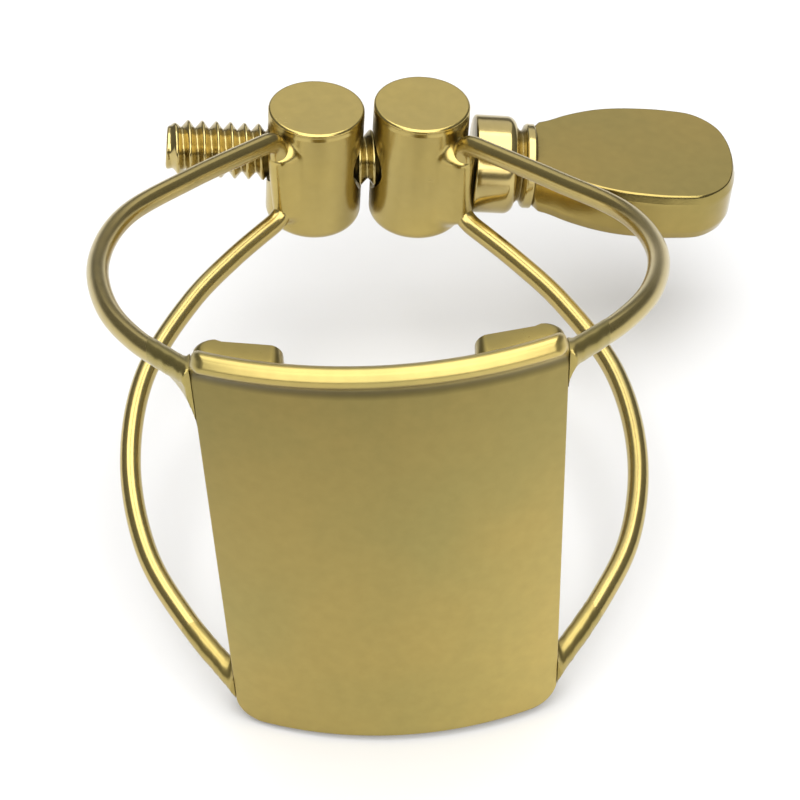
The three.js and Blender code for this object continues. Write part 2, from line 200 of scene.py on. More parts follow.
def catmull_rom(points, per_span):
    """Centripetal Catmull-Rom curve through the points, with its ends continued straight."""
    p = np.asarray(points, float)
    p = np.vstack([2 * p[0] - p[1], p, 2 * p[-1] - p[-2]])
    out = []
    for a, b, c, d in zip(p, p[1:], p[2:], p[3:]):
        steps = [max(np.linalg.norm(v - u), 1e-9) ** 0.5 for u, v in ((a, b), (b, c), (c, d))]
        t0, t1, t2, t3 = np.concatenate([[0], np.cumsum(steps)])
        t = np.linspace(t1, t2, per_span, endpoint=False)[:, None]
        a1 = (t1 - t) / (t1 - t0) * a + (t - t0) / (t1 - t0) * b
        a2 = (t2 - t) / (t2 - t1) * b + (t - t1) / (t2 - t1) * c
        a3 = (t3 - t) / (t3 - t2) * c + (t - t2) / (t3 - t2) * d
        b1 = (t2 - t) / (t2 - t0) * a1 + (t - t0) / (t2 - t0) * a2
        b2 = (t3 - t) / (t3 - t1) * a2 + (t - t1) / (t3 - t1) * a3
        out.append((t2 - t) / (t2 - t1) * b1 + (t - t1) / (t2 - t1) * b2)
    return np.vstack(out + [p[-2][None]])


def evenly(points, count):
    """The same route with its points at equal steps of length."""
    length = np.concatenate([[0], np.cumsum(np.linalg.norm(np.diff(points, axis=0), axis=1))])
    at = np.linspace(0, length[-1], count)
    return np.stack([np.interp(at, length, points[:, k]) for k in range(points.shape[1])], 1)


def make_object(name, points, faces, matrix=None, sharp=None):
    """A mesh object from points in mm. Faces are turned outwards; sharp is the angle of its hard edges."""
    mesh = bpy.data.meshes.new(name)
    mesh.from_pydata([tuple(p) for p in np.asarray(points, float)], [], faces)
    bm = bmesh.new()
    bm.from_mesh(mesh)
    bmesh.ops.remove_doubles(bm, verts=bm.verts, dist=1e-5)
    bmesh.ops.dissolve_degenerate(bm, edges=bm.edges, dist=1e-5)
    bmesh.ops.recalc_face_normals(bm, faces=bm.faces)
    bm.to_mesh(mesh)
    bm.free()
    mesh.transform(Matrix.Scale(MM, 4) @ (matrix or Matrix.Identity(4)))
    obj = bpy.data.objects.new(name, mesh)
    bpy.context.scene.collection.objects.link(obj)
    shade(obj, sharp)
    return obj


def shade(obj, sharp=None):
    obj.data.shade_smooth()
    if sharp is not None:
        obj.data.set_sharp_from_angle(angle=math.radians(sharp))


def grid_faces(rows, columns, wrap=False, first=0):
    """Quads between rows of points; wrap joins the last column to the first."""
    faces = []
    for i in range(rows - 1):
        for j in range(columns if wrap else columns - 1):
            k = (j + 1) % columns
            a = first + i * columns
            faces.append((a + j, a + k, a + columns + k, a + columns + j))
    return faces


def loft(rings, name, matrix=None, sharp=None):
    """A closed skin over rings with the same number of points each, capped at both ends."""
    rings = np.asarray(rings, float)
    rows, columns = rings.shape[:2]
    faces = grid_faces(rows, columns, wrap=True)
    faces.append(tuple(range(columns)))
    faces.append(tuple((rows - 1) * columns + j for j in range(columns)))
    return make_object(name, rings.reshape(-1, 3), faces, matrix, sharp)


def turned(profile, segments, name, matrix=None, sharp=None):
    """A solid of revolution about X from (x, radius) pairs."""
    angles = np.arange(segments) * 2 * math.pi / segments
    rings = [[(x, r * math.cos(a), r * math.sin(a)) for a in angles] for x, r in profile]
    return loft(rings, name, matrix, sharp)


def arc(cx, cy, radius, start, end, steps):
    angles = np.linspace(start, end, steps + 1)
    return [(cx + radius * math.cos(a), cy + radius * math.sin(a)) for a in angles]


def two_sided(rows, columns, surface, name, matrix, wall=4):
    """A sheet with two faces and a wall between them. surface(i, side) gives row i's points on that side."""
    top = np.array([surface(i, 1) for i in range(rows)])
    bottom = np.array([surface(i, -1) for i in range(rows)])
    points = [*top.reshape(-1, 3), *bottom.reshape(-1, 3)]
    half = rows * columns
    faces = grid_faces(rows, columns) + grid_faces(rows, columns, first=half)
    rim = list(range(columns))
    rim += [i * columns + columns - 1 for i in range(1, rows)]
    rim += [(rows - 1) * columns + j for j in range(columns - 2, -1, -1)]
    rim += [i * columns for i in range(rows - 2, 0, -1)]
    loops = [rim]
    for k in range(1, wall):
        loops.append([len(points) + n for n in range(len(rim))])
        points += [points[a] + (points[half + a] - points[a]) * k / wall for a in rim]
    loops.append([half + a for a in rim])
    for upper, lower in zip(loops, loops[1:]):
        for n in range(len(rim)):
            m = (n + 1) % len(rim)
            faces.append((upper[n], upper[m], lower[m], lower[n]))
    return make_object(name, points, faces, matrix)


def near_edges(half, spread, inner):
    """Positions across a width of 2 * half, close together within `spread` of both edges."""
    step = [1 - math.cos(a) for a in np.linspace(0, math.pi / 2, 6)]
    edge = np.array(step) * spread * min(1, half / (3 * spread))
    middle = np.linspace(-(half - edge[-1]), half - edge[-1], inner)
    return np.concatenate([-(half - edge[:-1]), middle, (half - edge[:-1])[::-1]])


# ---------------------------------------------------------------- plate and rails

def half_width(z):
    f = (z - PLATE_BOTTOM) / (LIP_START - PLATE_BOTTOM)
    return PLATE_BOTTOM_HALF + (PLATE_TOP_HALF - PLATE_BOTTOM_HALF) * f


def sheet_line(s):
    """Middle of the sheet at a length s from its bottom edge: (outwards, up) and the outward normal."""
    straight = LIP_START - PLATE_BOTTOM
    bend_out = LIP_BEND_RADIUS - SHEET / 2
    turn = min(max((s - straight) / LIP_BEND_RADIUS, 0), LIP_BEND)
    beyond = max(s - straight - LIP_BEND_RADIUS * LIP_BEND, 0)
    out = bend_out - LIP_BEND_RADIUS * math.cos(turn) + beyond * math.sin(turn)
    up = PLATE_BOTTOM + min(s, straight) + LIP_BEND_RADIUS * math.sin(turn) + beyond * math.cos(turn)
    return out, up, math.cos(turn), -math.sin(turn)


def corner_inset(distance):
    """How far a side edge is drawn in near the end of the sheet by the rounded corner."""
    c = PLATE_CORNER
    return c - math.sqrt(c * c - (c - min(distance, c)) ** 2)


def lip_inset(distance):
    """How far a side edge is drawn in near the lip's rim."""
    wide, long = LIP_CORNER
    share = 1 - min(distance, long) / long
    return wide * (1 - math.sqrt(1 - share * share))


def make_plate():
    length = LIP_START - PLATE_BOTTOM + LIP_BEND_RADIUS * LIP_BEND + LIP_REACH
    corner = PLATE_CORNER * (1 - np.cos(np.linspace(0, math.pi / 2, 22)))
    body = np.linspace(PLATE_CORNER, length - LIP_TIP - LIP_FINE, 44)[1:]
    bend = np.linspace(body[-1], length - LIP_TIP, 26)[1:]
    tip = length - LIP_TIP * (1 - np.sin(np.linspace(0, math.pi / 2, 14)))[1:]
    along = np.concatenate([corner, body, bend, tip])
    inner = 75

    def surface(i, side):
        s = along[i]
        out, up, normal_out, normal_up = sheet_line(s)
        full = half_width(up)
        half = full - corner_inset(s) - lip_inset(length - s)
        to_lip = float(smoothstep(length - LIP_EDGE_SPAN[0], length - LIP_EDGE_SPAN[1], s))
        edge = PLATE_EDGE + (LIP_EDGE - PLATE_EDGE) * to_lip
        x = near_edges(half, edge, inner)
        from_corner = np.stack([np.abs(x) - (full - PLATE_CORNER), np.full_like(x, PLATE_CORNER - s)])
        both = (from_corner > 0).all(0)
        rim = np.where(both, PLATE_CORNER - np.hypot(*from_corner), np.minimum(half - np.abs(x), s))
        thick = SHEET / 2 - edge_drop(np.maximum(rim, 0), edge)
        thick = np.minimum(thick, SHEET / 2 - edge_drop(length - s, LIP_TIP))
        radius = PLATE_RADIUS + out + side * thick * normal_out
        z = up + side * thick * normal_up
        angle = np.arcsin(x / full * PLATE_TOP_HALF / PLATE_RADIUS)
        taper = half_width(z) / PLATE_TOP_HALF
        y = PLATE_CENTRE_Y - radius * np.cos(angle)
        return np.stack([radius * np.sin(angle) * taper, y, z], 1)

    columns = len(near_edges(1, PLATE_EDGE, inner))
    return two_sided(len(along), columns, surface, "plate_sheet", LEAN)


def rail_section(inset):
    """Plan of the right-hand rail: its front follows the plate and its back is flat and tilted."""
    r = PLATE_RADIUS - SHEET - SEAM
    inner = RAIL_INNER + inset
    outer = PLATE_TOP_HALF - RAIL_SETBACK - inset
    front = [(x, PLATE_CENTRE_Y - math.sqrt(r * r - x * x)) for x in np.linspace(inner, outer, 12)]
    middle = (RAIL_INNER + PLATE_TOP_HALF) / 2
    middle_y = PLATE_CENTRE_Y - math.sqrt(r * r - middle * middle) + RAIL_THICK

    def back(x):
        return middle_y + (x - middle) * math.tan(RAIL_TILT)

    cut = RAIL_CHAMFER
    corner = [(outer - cut + cut * math.sin(a), back(outer) - cut + cut * math.cos(a))
              for a in np.linspace(math.pi / 2, 0, 6)]
    rest = [(x, back(x)) for x in np.linspace(outer - cut, inner, 10)[1:]]
    return front + corner + rest


def make_rail(word, side):
    c = RAIL_END_ROUND
    end = c * (1 - np.cos(np.linspace(0, math.pi / 2, 7)))
    middle = np.linspace(RAIL_BOTTOM + c, RAIL_TOP - c, 20)[1:-1]
    rings = []
    for z in np.concatenate([RAIL_BOTTOM + end, middle, (RAIL_TOP - end)[::-1]]):
        to_end = min(z - RAIL_BOTTOM, RAIL_TOP - z, c)
        inset = c - math.sqrt(c * c - (c - to_end) ** 2)
        rings.append([(side * x * half_width(z) / PLATE_TOP_HALF, y, z) for x, y in rail_section(inset)])
    rail = loft(rings, f"rail_bar_{word}", LEAN)
    bevel(rail, RAIL_EDGE, 3)
    return rail


def bevel(obj, width, segments):
    edge = obj.modifiers.new("edges", "BEVEL")
    edge.width = width * MM
    edge.segments = segments
    edge.limit_method = "ANGLE"
    edge.angle_limit = math.radians(35)


# ---------------------------------------------------------------- wire bows and their brazing

def bow_points(bow, side, heights):
    foot_y, bend_y = bow[0][1], bow[-1][1]
    points = []
    for half, y in bow:
        f = (y - foot_y) / (bend_y - foot_y)
        lean = math.sin(PLATE_LEAN) * (1 - f) ** 2
        z = heights[0] + (heights[1] - heights[0]) * f - (BOW_TWIST * f + lean) * side * half
        points.append((side * half + lean * heights[0], y, z))
    return np.array(points)


def side_face(side, z):
    """X of the plate's side face at a height, with the plate's lean."""
    return side * half_width(z) + math.sin(PLATE_LEAN) * z


def rounded_corner(a, corner, b, steps=8):
    t = np.linspace(0, 1, steps + 1)[:, None]
    return (1 - t) ** 2 * a + 2 * t * (1 - t) * corner + t * t * b


def wire_line(side):
    """The bow's centre line from its upper foot round the barrel to its lower foot, and its two corners."""
    arms = []
    for bow, heights in ((UPPER_BOW[side], UPPER_Z), (LOWER_BOW, LOWER_Z)):
        points = bow_points(bow, side, heights)
        route = evenly(catmull_rom(points, 40), 90)
        arms.append((route[np.linalg.norm(route - points[-1], axis=1) > BEND_TRIM], points[-1]))
    (upper, top), (lower, low) = arms
    down = (low - top) / np.linalg.norm(low - top)
    path = np.vstack([
        upper[:-1],
        rounded_corner(upper[-1], top, top + down * BEND_TRIM),
        rounded_corner(low - down * BEND_TRIM, low, lower[-1]),
        lower[-2::-1],
    ])
    return path, top, low


def sweep(path, radius, segments, name):
    """A round wire along a path, with its length and girth in mm as UVs."""
    tangent = np.gradient(path, axis=0)
    tangent /= np.linalg.norm(tangent, axis=1)[:, None]
    normal = np.cross(tangent[0], (0, 0, 1))
    rings = []
    for point, t in zip(path, tangent):
        normal = normal - t * (normal @ t)
        normal /= np.linalg.norm(normal)
        across = np.cross(t, normal)
        a = np.arange(segments) * 2 * math.pi / segments
        rings.append(point + radius * (np.cos(a)[:, None] * normal + np.sin(a)[:, None] * across))
    wire = loft(rings, name)
    length = np.concatenate([[0], np.cumsum(np.linalg.norm(np.diff(path, axis=0), axis=1))])
    girth = 2 * math.pi * radius / segments
    layer = wire.data.uv_layers.new(name="drawn")
    for face in wire.data.polygons:
        if len(face.vertices) != 4:
            continue
        turn = [v % segments for v in face.vertices]
        for loop, v, k in zip(face.loop_indices, face.vertices, turn):
            k = segments if k == 0 and max(turn) == segments - 1 else k
            layer.data[loop].uv = (length[v // segments], k * girth)
    return wire


def trimmed(path, side):
    """The bow from its upper foot at the plate's side face to its lower one."""
    limit = np.array([side * side_face(side, z) - WIRE_SUNK for z in path[:, 2]])
    keep = side * path[:, 0] > limit
    return path[keep | (path[:, 1] > FLEX_START_Y)]


def make_wire(word, side):
    path = catmull_rom(trimmed(wire_line(side)[0], side), 2)
    return sweep(evenly(path, 340), WIRE_RADIUS, 28, f"bow_wire_{word}")


def smooth_union(a, b, soft):
    h = np.clip(0.5 + 0.5 * (b - a) / soft, 0, 1)
    return b + (a - b) * h - soft * h * (1 - h)


def first_crossing(field, reach):
    """Distance along each row of samples at which the field first turns positive."""
    steps = field.shape[1]
    r = np.linspace(0, reach, steps)
    outside = field > 0
    first = np.where(outside.any(1), outside.argmax(1), steps - 1)
    before = np.maximum(first - 1, 0)
    rows = np.arange(len(field))
    f0, f1 = field[rows, before], field[rows, first]
    share = np.clip(f0 / np.where(np.abs(f0 - f1) < 1e-9, -1, f0 - f1), 0, 1)
    return r[before] + (r[first] - r[before]) * share


def make_braze(word, side, level, heights, bow, soft):
    """Brazing metal that blends the wire into the side of the plate and rail, and ends flush in front."""
    route = catmull_rom(bow_points(bow, side, heights)[:4], 80)
    face = side * side_face(side, heights[0])
    angle = np.arange(48) * 2 * math.pi / 48
    up, down, level_soft = soft
    blend = level_soft + (up - level_soft) * np.clip(np.sin(angle), 0, 1) ** 2
    blend += (down - level_soft) * np.clip(-np.sin(angle), 0, 1) ** 2
    r = np.linspace(0, BRAZE_SEARCH, 240)[None, :]
    rings = []
    for offset in (-0.5, -0.3, -0.1, -0.02, *(BRAZE_REACH * np.linspace(0, 1, 28) ** 1.7)):
        k = int(np.argmin(np.abs(side * route[:, 0] - face - offset)))
        direction = route[k + 1] - route[k]
        direction /= np.linalg.norm(direction)
        y = route[k][1] + r * np.cos(angle)[:, None]
        z = route[k][2] + r * np.sin(angle)[:, None]
        away = np.stack([np.zeros_like(y), y - route[k][1], z - route[k][2]], 2)
        cover = BRAZE_COVER - BRAZE_SINK * smoothstep(0.5, 1, offset / BRAZE_REACH)
        wire = np.linalg.norm(np.cross(away, direction), axis=2) - WIRE_RADIUS - cover
        past_end = np.maximum(z - RAIL_TOP, RAIL_BOTTOM - z) + RAIL_END_ROUND
        outside = np.stack([np.full_like(y, offset), SIDE_FRONT_Y - y, y - SIDE_BACK_Y, past_end], 2)
        block = np.linalg.norm(np.maximum(outside, 0), axis=2) + np.minimum(outside.max(2), 0)
        soft_here = blend[:, None]
        field = np.maximum(smooth_union(block, wire, soft_here), wire - soft_here)
        if offset < 0:
            field = np.maximum(field, block + BRAZE_UNDER)
        field = np.maximum(field, SIDE_FRONT_Y - y - BRAZE_BULGE * max(offset, 0))
        out = first_crossing(field, BRAZE_SEARCH)
        ring_z = route[k][2] + out * np.sin(angle)
        ring_x = side_face(side, ring_z) + side * offset
        rings.append(np.stack([ring_x, route[k][1] + out * np.cos(angle), ring_z], 1))
    return loft(rings, f"braze_fillet_{level}_{word}")


# ---------------------------------------------------------------- clamp barrels

def barrel_matrix(side):
    place = Matrix.Translation((side * BARREL_SPACING, 0, 0))
    return CLAMP @ place @ Matrix.Rotation(BARREL_LEAN - SCREW_TILT, 4, "Y")


def ridge_radius(radius, angle, height, top, low):
    """Radius of the barrel's side where brazing metal covers the wire's upright, with soft fillets."""
    t = np.clip((height - top[2]) / (low[2] - top[2]), 0, 1)
    centre = top + t * (low - top)
    away = math.atan2(centre[1], centre[0])
    turn = (angle - away + math.pi) % (2 * math.pi) - math.pi
    distance = np.hypot(turn * BARREL_RADIUS, height - centre[2])
    cover = WIRE_RADIUS + RIDGE_COVER
    shoulder = RIDGE_SHOULDER * cover
    dome = np.sqrt(cover**2 - np.minimum(distance, shoulder) ** 2)
    bump = math.hypot(centre[0], centre[1]) + dome - RIDGE_SLOPE * np.maximum(distance - shoulder, 0)
    return -smooth_union(-radius, -bump, RIDGE_SOFT)


def make_barrel(word, side):
    low_z, high_z = BARREL_SPAN[side]
    matrix = barrel_matrix(side)
    _, top, low = wire_line(side)
    inverse = matrix.inverted()
    top, low = (np.array(inverse @ Vector(p)) for p in (top, low))
    down = (low - top) / np.linalg.norm(low - top)
    top, low = top + RIDGE_ENDS[0] * down, low - RIDGE_ENDS[1] * down
    r, foot, rim = BARREL_RADIUS, BARREL_FOOT_ROUND, BARREL_RIM
    profile = [(BARREL_AXIS, low_z), (1.0, low_z)]
    profile += [(x, z) for z, x in arc(low_z + foot, r - foot, foot, math.pi, math.pi / 2, 12)]
    profile += [(r, z) for z in np.linspace(low_z + foot, high_z - 2.6 * rim, 100)[1:]]
    profile += [(r - BARREL_LINE, high_z - z) for z in BARREL_LINE_BELOW]
    profile += [(r, high_z - rim)]
    profile += [(r - rim + rim * math.cos(a), high_z - rim + rim * math.sin(a))
                for a in np.linspace(0, math.pi / 2, 7)[1:]]
    profile += [(x, high_z) for x in (r - 0.4, 1.6, 0.8, BARREL_AXIS)]
    segments = 240
    angle = np.arange(segments) * 2 * math.pi / segments
    rings = []
    for radius, z in profile:
        ring = np.full(segments, radius)
        if radius > r - foot and low_z + 0.05 < z < high_z - 0.01:
            ring = ridge_radius(ring, angle, z, top, low)
        rings.append(np.stack([ring * np.cos(angle), ring * np.sin(angle), np.full(segments, z)], 1))
    barrel = loft(rings, f"clamp_barrel_{word}", matrix)
    cut(barrel, bore_cutters(side))
    shade(barrel, 32)
    return barrel


def bore_cutters(side):
    """The bore along the screw, and the cone that opens its mouth towards the other barrel."""
    x = side * BARREL_SPACING
    reach = BARREL_RADIUS + 1
    bore = turned([(x - reach, BORE_RADIUS), (x + reach, BORE_RADIUS)], 96, "bore", CLAMP)
    mouth = x - side * (BARREL_RADIUS - COUNTERSINK)
    ends = [(mouth, BORE_RADIUS - 0.05), (mouth - side * 3 * COUNTERSINK, BORE_RADIUS + 3 * COUNTERSINK)]
    cone = turned(sorted(ends), 96, "mouth", CLAMP)
    return [bore, cone]


def cut(obj, cutters):
    for cutter in cutters:
        change = obj.modifiers.new("cut", "BOOLEAN")
        change.operation = "DIFFERENCE"
        change.solver = "EXACT"
        change.object = cutter
    bpy.context.view_layer.update()
    graph = bpy.context.evaluated_depsgraph_get()
    mesh = bpy.data.meshes.new_from_object(obj.evaluated_get(graph))
    obj.modifiers.clear()
    obj.data = mesh
    for cutter in cutters:
        bpy.data.objects.remove(cutter)


# ---------------------------------------------------------------- thumbscrew

def thread_radius(x, turn):
    """A V thread with narrow flats that climbs one pitch per turn and starts on a chamfer."""
    ridge = np.abs(2 * ((x / THREAD_PITCH - turn) % 1) - 1)
    ridge = np.clip(0.5 + THREAD_STEEP * (ridge - 0.5), 0, 1)
    start = np.clip((x - SCREW_END) / THREAD_PITCH, 0, 1)
    crest = THREAD_ROOT + (THREAD_RADIUS - THREAD_ROOT) * start
    return THREAD_ROOT + (crest - THREAD_ROOT) * ridge


def make_screw():
    segments = 64
    angle = np.arange(segments) * 2 * math.pi / segments
    turn = angle / (2 * math.pi)
    rings = []
    for inset in (0.9, 0.45, 0.12):
        radius = np.full(segments, THREAD_ROOT - inset)
        rings.append((np.full(segments, SCREW_END), radius))
    threaded = THREAD_RUNOUT - SCREW_END
    for x in np.linspace(SCREW_END + 0.06, THREAD_RUNOUT, round(threaded / THREAD_PITCH * 16)):
        radius = thread_radius(x, turn)
        fade = smoothstep(THREAD_RUNOUT - THREAD_PITCH, THREAD_RUNOUT, x)
        rings.append((np.full(segments, x), radius + (SHANK_RADIUS - radius) * fade))
    for x in np.linspace(THREAD_RUNOUT, COLLAR_FACE + 0.5, 16)[1:]:
        rings.append((np.full(segments, x), np.full(segments, SHANK_RADIUS)))
    points = [np.stack([x, r * np.cos(angle), r * np.sin(angle)], 1) for x, r in rings]
    return loft(points, "screw_rod", CLAMP)


def make_collar():
    edge = COLLAR_EDGE
    shoulder = COLLAR_RADIUS - COLLAR_SHOULDER
    profile = [(COLLAR_FACE, 0.3), (COLLAR_FACE, SHANK_RADIUS + 0.2), (COLLAR_FACE, COLLAR_RADIUS - edge)]
    profile += arc(COLLAR_FACE + edge, COLLAR_RADIUS - edge, edge, math.pi, math.pi / 2, 5)
    profile += [(x, COLLAR_RADIUS) for x in np.linspace(COLLAR_FACE + edge, COLLAR_SHOULDER_X, 8)[1:]]
    profile += arc(COLLAR_SHOULDER_X, shoulder, COLLAR_SHOULDER, math.pi / 2, 0.15, 10)[1:]
    profile += [(GROOVE_X + along, GROOVE_RADIUS + out) for along, out in GROOVE_WALL]
    profile += arc(RING_SPAN[0], RING_RADIUS - RING_EDGE, RING_EDGE, math.pi * 0.8, math.pi / 2, 4)
    profile += arc(RING_SPAN[1], RING_RADIUS - RING_EDGE, RING_EDGE, math.pi / 2, 0.2, 4)
    profile += [(COLLAR_END - 0.03, 2.25), (COLLAR_END, 2.2), (COLLAR_END, 0.3)]
    return turned(profile, 128, "thumb_collar_ring", CLAMP, sharp=50)


def paddle_edge(distance):
    """How far the paddle's face falls towards its outline: a crisp rim, then a steep bevel."""
    a = PADDLE_BEVEL * (PADDLE_RIM - distance)
    return 0.5 * (a + np.sqrt(a * a + PADDLE_RIM_SOFT**2))


def make_paddle():
    near = PADDLE_PLAN[:-1]
    start, tip = near[0][0], PADDLE_PLAN[-1][0]
    outline = evenly(catmull_rom([*near, PADDLE_PLAN[-1], *[(x, -y) for x, y in near[::-1]]], 40), 520)
    step = np.gradient(outline, axis=0)
    outwards = np.stack([-step[:, 1], step[:, 0]], 1) / np.linalg.norm(step, axis=1)[:, None]
    neck = outline[-1] + (outline[0] - outline[-1]) * np.linspace(0, 1, 24)[1:-1, None]
    plan = np.vstack([outline, neck])
    outwards = np.vstack([outwards, np.tile((-1.0, 0.0), (len(neck), 1))])

    def ring(inset, side):
        x, y = (plan - inset * outwards).T
        x = np.maximum(x, start + inset)
        y[len(outline):] *= 1 - inset / near[0][1]
        thick = np.interp(x, (start, tip), PADDLE_HALF) - paddle_edge(inset)
        turned_to = PADDLE_NECK[0] + PADDLE_NECK[1] * (x - start)
        z = smooth_union(thick, np.sqrt(np.maximum(turned_to**2 - y * y, 0.01)), PADDLE_NECK_SOFT)
        return np.stack([x, y, side * z], 1)

    upper = [ring(inset, 1) for inset in PADDLE_INSETS]
    lower = [ring(inset, -1) for inset in PADDLE_INSETS[::-1]]
    wall = [upper[-1] + (lower[0] - upper[-1]) * k / 8 for k in range(1, 8)]
    return loft([*upper, *wall, *lower], "thumb_paddle_blade", CLAMP)


# ---------------------------------------------------------------- materials

def node_maker(material):
    """Returns a function that adds a node. Each of its inputs is a value or another node's output."""
    tree = material.node_tree
    tree.nodes.clear()

    def add(kind, inputs=None, **settings):
        node = tree.nodes.new(kind)
        for key, value in settings.items():
            setattr(node, key, value)
        for key, value in (inputs or {}).items():
            if isinstance(value, bpy.types.NodeSocket):
                tree.links.new(value, node.inputs[key])
            else:
                node.inputs[key].default_value = value
        return node

    return add


def ramp(add, value, stops):
    """Grey levels from a value, through (place, level) stops."""
    node = add("ShaderNodeValToRGB", {"Fac": value})
    elements = node.color_ramp.elements
    for element, (place, level) in zip(elements, (stops[0], stops[-1])):
        element.position = place
        element.color = (level, level, level, 1)
    for place, level in stops[1:-1]:
        elements.new(place).color = (level, level, level, 1)
    return node.outputs["Color"]


def noise(add, vector, scale, detail=3.0):
    inputs = {"Vector": vector, "Scale": scale, "Detail": detail}
    return add("ShaderNodeTexNoise", inputs).outputs["Fac"]


def math_node(add, operation, a, b):
    return add("ShaderNodeMath", {0: a, 1: b}, operation=operation).outputs[0]


def mix(add, factor, a, b, mode="MIX"):
    """A blend of two colours, each an RGB tuple or another node's output."""
    a, b = (c if isinstance(c, bpy.types.NodeSocket) else (*c, 1) for c in (a, b))
    inputs = {0: factor, 6: a, 7: b}
    return add("ShaderNodeMix", inputs, data_type="RGBA", blend_type=mode, clamp_result=True).outputs[2]


SHADE_HALF = 9.0                       # the plate's painted light and shade are set out across this half width


def painted_plate_shading(add, in_mm):
    """Painted light and shade on the plate: a painted dark band of shade in the crease under the lip, darker
    higher up, and lighter on the lip, towards the foot and towards the right edge.
    """
    across, _, up = add("ShaderNodeSeparateXYZ", {"Vector": in_mm}).outputs
    upwards = math_node(add, "DIVIDE", math_node(add, "ADD", up, -PLATE_BOTTOM), -2 * PLATE_BOTTOM)
    sideways = math_node(add, "DIVIDE", math_node(add, "ADD", across, SHADE_HALF), 2 * SHADE_HALF)
    # painted shade: a dark band where the crease under the lip is in shade
    crease = [(0.922, 0.56), (0.936, 0.3), (0.948, 0.27), (0.957, 0.7)]
    by_height = ramp(add, upwards, [(0.0, 1.0), (0.5, 0.76), (0.84, 0.6), *crease, (0.967, 1.0)])
    by_side = ramp(add, sideways, [(0.0, 0.76), (0.5, 0.8), (1.0, 1.0)])
    return math_node(add, "MULTIPLY", by_height, by_side)


def worn_edges(add, wear):
    """Strong along the edges, where a bevelled surface would face another way than the real one."""
    bevelled = add("ShaderNodeBevel", {"Radius": 0.16 * MM}, samples=6).outputs["Normal"]
    facing = add("ShaderNodeNewGeometry").outputs["Normal"]
    turn = add("ShaderNodeVectorMath", {0: bevelled, 1: facing}, operation="DOT_PRODUCT").outputs["Value"]
    return math_node(add, "MULTIPLY", ramp(add, turn, [(0.86, 1), (0.985, 0)]), wear)


def painted_corner_shade(add, in_mm):
    """Painted shade: strong in tight corners, where ambient occlusion is low, and broken up by noise."""
    corners = add("ShaderNodeAmbientOcclusion", {"Distance": 1.2 * MM}, samples=8).outputs["AO"]
    patches = ramp(add, noise(add, in_mm, 2.2), [(0.3, 0.5), (0.7, 0.9)])
    return math_node(add, "MULTIPLY", ramp(add, corners, [(0.3, 1), (0.82, 0)]), patches)


def brass_colour(add, in_mm, tone, olive, wear, painted_shading, corner_shade):
    """Two blended tones, mottled, brighter along worn edges, with painted light and shade on the plate when
    asked and painted shade in tight corners.
    """
    clouds = ramp(add, noise(add, in_mm, 0.11, 4.0), [(0.36, 0), (0.66, 1)])
    colour = mix(add, clouds, tone, olive)
    # painted light and shade on the plate, multiplied into its colour
    if painted_shading:
        colour = mix(add, 1.0, colour, painted_plate_shading(add, in_mm), "MULTIPLY")
    mottle = ramp(add, noise(add, in_mm, 1.6, 5.0), [(0.3, 0.93), (0.7, 1.0)])
    colour = mix(add, 1.0, colour, mottle, "MULTIPLY")
    bright = tuple(min(1, c * 1.25 + 0.04) for c in tone)
    colour = mix(add, worn_edges(add, wear), colour, bright)
    # painted shade: in tight corners the colour falls towards 0.28 of the tone
    return mix(add, corner_shade, colour, tuple(c * 0.28 for c in tone))


def fine_grain(add, in_mm, grain, drawn):
    """A fine grain, or drawing marks that run along a wire."""
    if not drawn:
        return noise(add, in_mm, grain, 2.0)
    uv = add("ShaderNodeUVMap", uv_map="drawn").outputs["UV"]
    streak = add("ShaderNodeMapping", {"Vector": uv, "Scale": (0.12, 7.0, 1.0)}).outputs["Vector"]
    return noise(add, streak, 1.0, 4.0)


def brass_roughness(add, in_mm, roughness, variation, fine, corner_shade):
    """Roughness that varies slowly and with the grain, and rises in the tight corners that get painted shade.
    """
    slow = math_node(add, "SUBTRACT", noise(add, in_mm, 0.35), 0.5)
    rough = math_node(add, "ADD", roughness, math_node(add, "MULTIPLY", slow, variation * 2))
    rough = math_node(add, "ADD", rough, math_node(add, "MULTIPLY", corner_shade, 0.25))
    tooth = math_node(add, "MULTIPLY", math_node(add, "SUBTRACT", fine, 0.5), variation)
    return math_node(add, "MAXIMUM", math_node(add, "ADD", rough, tooth), 0.05)


def brass(name, tone, olive, roughness, variation, grain, drawn=False, wear=0.5, painted_shading=False):
    """Lacquered brass with painted shade in tight corners. Tone and olive are the two colours it drifts
    between.
    """
    material = bpy.data.materials.new(name)
    material.use_nodes = True
    add = node_maker(material)
    place = add("ShaderNodeTexCoord").outputs["Object"]
    in_mm = add("ShaderNodeVectorMath", {0: place, "Scale": 1 / MM}, operation="SCALE").outputs[0]
    # painted shade in tight corners; the same mask also raises the roughness there
    corner_shade = painted_corner_shade(add, in_mm)
    fine = fine_grain(add, in_mm, grain, drawn)
    bump = add("ShaderNodeBump", {"Strength": 0.35, "Distance": 0.004 * MM, "Height": fine})
    inputs = {
        "Base Color": brass_colour(add, in_mm, tone, olive, wear, painted_shading, corner_shade),
        "Roughness": brass_roughness(add, in_mm, roughness, variation, fine, corner_shade),
        "Metallic": 1.0,
        "Normal": bump.outputs["Normal"],
    }
    shader = add("ShaderNodeBsdfPrincipled", inputs)
    add("ShaderNodeOutputMaterial", {"Surface": shader.outputs["BSDF"]})
    return material


